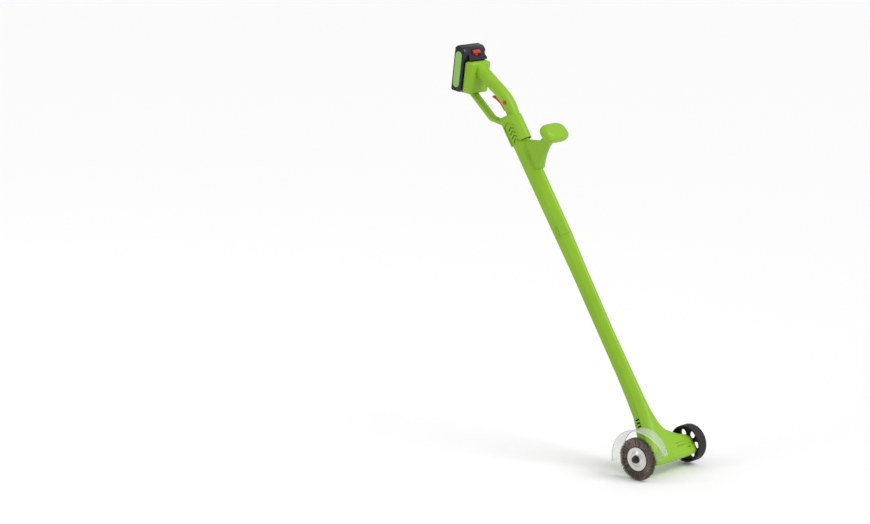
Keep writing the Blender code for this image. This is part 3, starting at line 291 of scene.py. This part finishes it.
def wire_mesh(name, seed, strands, rows, radius):
    """Crimped wires from the hub out to the rim, as thin three-sided tubes."""
    rng = random.Random(seed)
    points, faces = [], []
    hub, rim = 26.0 * MM, BRUSH_RADIUS
    for _ in range(strands):
        turn = rng.uniform(0, 2 * math.pi)
        splay = rng.uniform(-1, 1) ** 3 * 0.09
        across = rng.uniform(-1, 1)
        lean = rng.uniform(-0.05, 0.05)
        phase = rng.uniform(0, 2 * math.pi)
        pitch = rng.uniform(5.0, 7.0)
        reach = rim * (1.0 - 0.075 * rng.random() ** 1.6)
        base = len(points)
        for k in range(rows):
            t = k / (rows - 1)
            r = hub + (reach - hub) * t
            crimp = 0.010 * math.sin(phase + pitch * t * 3.0)
            angle = turn + (lean + splay * t) * t + crimp * (0.4 + 0.6 * t)
            width = (2.1 + (BRUSH_WIDTH / MM / 2 - 2.6) * min(t * 1.12, 1.0)) * MM
            x = BRUSH_CENTRE.x + across * width + 0.0004 * math.sin(phase * 2 + pitch * 2 * t)
            outward = Vector((0, math.cos(angle), math.sin(angle)))
            side = Vector((0, -math.sin(angle), math.cos(angle)))
            middle = Vector((x, BRUSH_CENTRE.y, BRUSH_CENTRE.z)) + outward * r
            for corner in range(3):
                a = 2 * math.pi * corner / 3 + phase
                points.append(middle + side * (radius * math.cos(a)) + Vector((radius * math.sin(a), 0, 0)))
        for k in range(rows - 1):
            for corner in range(3):
                c = (corner + 1) % 3
                low, high = base + 3 * k, base + 3 * (k + 1)
                faces.append((low + corner, low + c, high + c, high + corner))
        faces.append((base, base + 1, base + 2))
        top = base + 3 * (rows - 1)
        faces.append((top, top + 2, top + 1))
    mesh = bpy.data.meshes.new(name)
    mesh.from_pydata([tuple(point) for point in points], [], faces)
    mesh.shade_smooth()
    return mesh


def build_brush():
    # A near-black disc inside the wire pack, under the strands: its dark colour is painted shade between the dense
    # wires.
    core = [(43.5, -72.2), (43.5, -77.8), (41.0, -78.8), (28.0, -76.9), (14.0, -76.7), (14.0, -73.4),
            (28.0, -73.2), (41.0, -71.2)]
    points, faces = lathe(core, BRUSH_CENTRE, 120)
    piece("brush_core_painted_shade", mesh_from("brush_core_painted_shade", points, faces), WIRE_PAINTED_SHADE_CORE, "brush_spindle")
    wires = wire_mesh("brush_wires", 7, 2100, 6, 0.00034)
    piece("brush_wires", wires, WIRE, "brush_spindle", ("brush_bristles",))
    turned_piece(
        "plate_inner",
        [(27.5, -71.6), (27.5, -72.8), (17.2, -72.8), (12.3, -72.1), (4.3, -72.1), (4.3, -70.9), (12, -70.9),
         (17, -71.6)],
        BRUSH_CENTRE, TURNED_STEEL, "brush_spindle", ("brush_plate_inner",),
    )
    turned_piece(
        "plate_outer",
        [(27.5, -77.4), (27.5, -78.9), (26.0, -79.5), (24.6, -78.8), (19.4, -78.6), (18.6, -79.3),
         (17.6, -79.3), (13.2, -82.5), (11.4, -82.5), (10.6, -81.9), (4.3, -81.9), (4.3, -81.2),
         (11.5, -81.2), (16.5, -77.4)],
        BRUSH_CENTRE, TURNED_STEEL, "brush_spindle", ("brush_plate_outer",), rounding=0.5,
    )
    band = rounded([(29.4, -77.0), (29.4, -78.4), (27.6, -78.4), (27.6, -77.0)], 0.3)
    points, faces = lathe(band, BRUSH_CENTRE)
    mesh = mesh_from("plate_band", points, faces, 28.0)
    piece("plate_band", mesh, BLACK, "brush_spindle")
    build_nut()


def build_nut():
    """A hexagonal flange nut on the spindle's end, its corners chamfered."""
    sides = 48
    bore = 4.2
    outer_end, inner_end = -88.9, -82.1
    # x, the radius of the corners, the radius of the flats
    sections = [
        (inner_end, 9.2, 9.2), (-83.4, 9.2, 9.2), (-83.6, 7.9, 7.0), (-88.0, 7.9, 7.0), (outer_end, 7.1, 6.9),
    ]
    angles = [2 * math.pi * i / sides for i in range(sides)]
    rings = []
    for x, corner_radius, flat_radius in sections:
        radii = []
        for angle in angles:
            within = (angle + math.pi / 6) % (math.pi / 3) - math.pi / 6
            radii.append(min(corner_radius, flat_radius / math.cos(within)))
        rings.append((x, radii))
    rings += [(x, [bore] * sides) for x in (outer_end, inner_end)]
    points, faces = [], []
    for x, radii in rings:
        for angle, size in zip(angles, radii):
            radius = size * MM
            y = BRUSH_CENTRE.y + radius * math.cos(angle)
            z = BRUSH_CENTRE.z + radius * math.sin(angle)
            points.append((x * MM, y, z))
    for row in range(len(rings)):
        after = (row + 1) % len(rings)
        for i in range(sides):
            j = (i + 1) % sides
            faces.append((row * sides + i, row * sides + j, after * sides + j, after * sides + i))
    mesh = mesh_from("nut", points, faces, 28.0)
    piece("nut", mesh, DARK_STEEL, "brush_spindle", ("spindle_nut",))


# ---------------------------------------------------------------- guard's rounded edges

def bead(name, path, radius, material, sides=8):
    """A round bead along a path on the machine."""
    points, faces = [], []
    for i, here in enumerate(path):
        along = (path[min(i + 1, len(path) - 1)] - path[max(i - 1, 0)]).normalized()
        side = Vector((1, 0, 0)) - along * along.x
        side.normalize()
        up = along.cross(side)
        for k in range(sides):
            angle = 2 * math.pi * k / sides
            points.append(here + (side * math.cos(angle) + up * math.sin(angle)) * radius)
    for i in range(len(path) - 1):
        for k in range(sides):
            m = (k + 1) % sides
            faces.append((i * sides + k, i * sides + m, (i + 1) * sides + m, (i + 1) * sides + k))
    faces.append(tuple(range(sides)))
    faces.append(tuple((len(path) - 1) * sides + k for k in range(sides)))
    piece(name, mesh_from(name, points, faces, 60.0), material, "machine")


def build_guard_edges():
    first_angle, sweep, steps = 14.0, 166.0, 60
    for name, radius, near_edge, thickness in (
        ("guard_bead_near", 67.3, True, 1.15), ("guard_bead_far", 65.6, False, 0.9),
    ):
        path = []
        for step in range(steps + 1):
            angle = first_angle + sweep * step / steps
            # The near edge runs out over the brush within the first 90 degrees.
            share = min(max((angle - first_angle) / 90.0, 0.0), 1.0)
            x = -57.0 - 28.0 * (1 - (1 - share) ** 2) if near_edge else -47.3
            turn = math.radians(angle)
            y = BRUSH_CENTRE.y - radius * MM * math.cos(turn)
            z = BRUSH_CENTRE.z + radius * MM * math.sin(turn)
            path.append(Vector((x * MM, y, z)))
        end = path[-1]
        for drop in (4.0, 8.0, 12.0, 15.6):
            path.append(Vector((end.x, end.y, end.z - drop * MM)))
        bead(name, path, thickness * MM, CLEAR_EDGE)


# ---------------------------------------------------------------- wheel

def build_wheel():
    """The wheel turned smoothly, with its six oval holes cut and the result kept as its mesh."""
    hole_count = 6
    hole_circle = 0.0256
    hole_half_size = (0.0092, 0.0078)
    outer = WHEEL_RADIUS / MM
    rim = outer - 4.0  # inside of the tread
    low, high = wheel_low.x / MM, wheel_high.x / MM
    profile = [
        (outer - 1.2, high), (outer, high - 2), (outer, low + 2), (outer - 1.2, low), (rim, low),
        (rim - 0.6, 107), (12, 107), (12, 103.3), (4.4, 103.3), (4.4, 121), (11, 121), (11.6, 112), (rim - 0.6, 112),
        (rim + 0.2, high),
    ]
    wheel = turned_piece(
        "wheel_body", profile, WHEEL_CENTRE, RUBBER, "wheel", ("wheel",), rounding=0.7, steps=112
    )
    bm = bmesh.new()
    for i in range(hole_count):
        angle = 2 * math.pi * (i + 0.5) / hole_count
        place = (
            Matrix.Translation(WHEEL_CENTRE)
            @ Matrix.Rotation(math.pi / 2, 4, "Y") @ Matrix.Rotation(angle, 4, "Z")
            @ Matrix.Translation((hole_circle, 0, 0)) @ Matrix.Diagonal((*hole_half_size, 1, 1))
        )
        bmesh.ops.create_cone(bm, cap_ends=True, segments=40, radius1=1, radius2=1, depth=0.03, matrix=place)
    mesh = bpy.data.meshes.new("wheel_hole_cutter")
    bm.to_mesh(mesh)
    bm.free()
    cutter = bpy.data.objects.new("wheel_hole_cutter", mesh)
    bpy.context.scene.collection.objects.link(cutter)
    cut = wheel.modifiers.new("holes", "BOOLEAN")
    cut.operation = "DIFFERENCE"
    cut.solver = "EXACT"
    cut.object = cutter
    graph = bpy.context.evaluated_depsgraph_get()
    baked = bpy.data.meshes.new_from_object(wheel.evaluated_get(graph))
    wheel.modifiers.clear()
    wheel.data = baked
    bpy.data.objects.remove(cutter)
    wheel.data.shade_smooth()
    wheel.data.set_sharp_from_angle(angle=math.radians(28))


# ---------------------------------------------------------------- stage, lights and camera

def look_from(location, heading, pitch, lens):
    """A camera heading degrees from +X towards +Y and pitch degrees below the horizon."""
    data = bpy.data.cameras.new("camera")
    data.lens = lens
    data.sensor_width = 36.0
    data.clip_end = 60.0
    camera = bpy.data.objects.new("camera", data)
    camera.location = location
    camera.rotation_euler = (math.radians(90 - pitch), 0, math.radians(heading - 90))
    bpy.context.scene.collection.objects.link(camera)
    bpy.context.scene.camera = camera


def area_light(name, location, target, size, power):
    data = bpy.data.lights.new(name, "AREA")
    data.shape = "SQUARE"
    data.size = size
    data.energy = power
    light = bpy.data.objects.new(name, data)
    light.location = location
    aim(light, Vector(target) - Vector(location))


def sun_light(name, towards_light, strength, softness):
    data = bpy.data.lights.new(name, "SUN")
    data.energy = strength
    data.angle = math.radians(softness)
    aim(bpy.data.objects.new(name, data), -Vector(towards_light))


def aim(light, direction):
    light.rotation_euler = direction.to_track_quat("-Z", "Y").to_euler()
    bpy.context.scene.collection.objects.link(light)


def build_stage():
    mesh = bpy.data.meshes.new("floor")
    size = 60.0
    mesh.from_pydata(
        [(-size, -size, FLOOR_Z), (size, -size, FLOOR_Z), (size, size, FLOOR_Z), (-size, size, FLOOR_Z)],
        [], [(0, 1, 2, 3)],
    )
    floor = bpy.data.objects.new("floor", mesh)
    bpy.context.scene.collection.objects.link(floor)
    mesh.materials.append(surface(
        "floor_paint", (0.92, 0.92, 0.92), 0.9, grain=40, grain_depth=0.0, variation=0.0, specular=0.1,
    ))
    world = bpy.data.worlds.new("studio")
    world.use_nodes = True
    background = world.node_tree.nodes["Background"]
    background.inputs["Color"].default_value = (1.0, 1.0, 1.0, 1)
    background.inputs["Strength"].default_value = 0.66
    bpy.context.scene.world = world
    sun_light("key", (0.30, -1.0, 1.05), 1.75, 34)
    area_light("side", (-2.4, 1.2, 1.6), (0, -0.1, -0.1), 0.9, 14)


look_from(CAMERA_PLACE, CAMERA_HEADING, CAMERA_PITCH, CAMERA_LENS)
paint_cad()
build_brush()
build_guard_edges()
build_wheel()
build_stage()
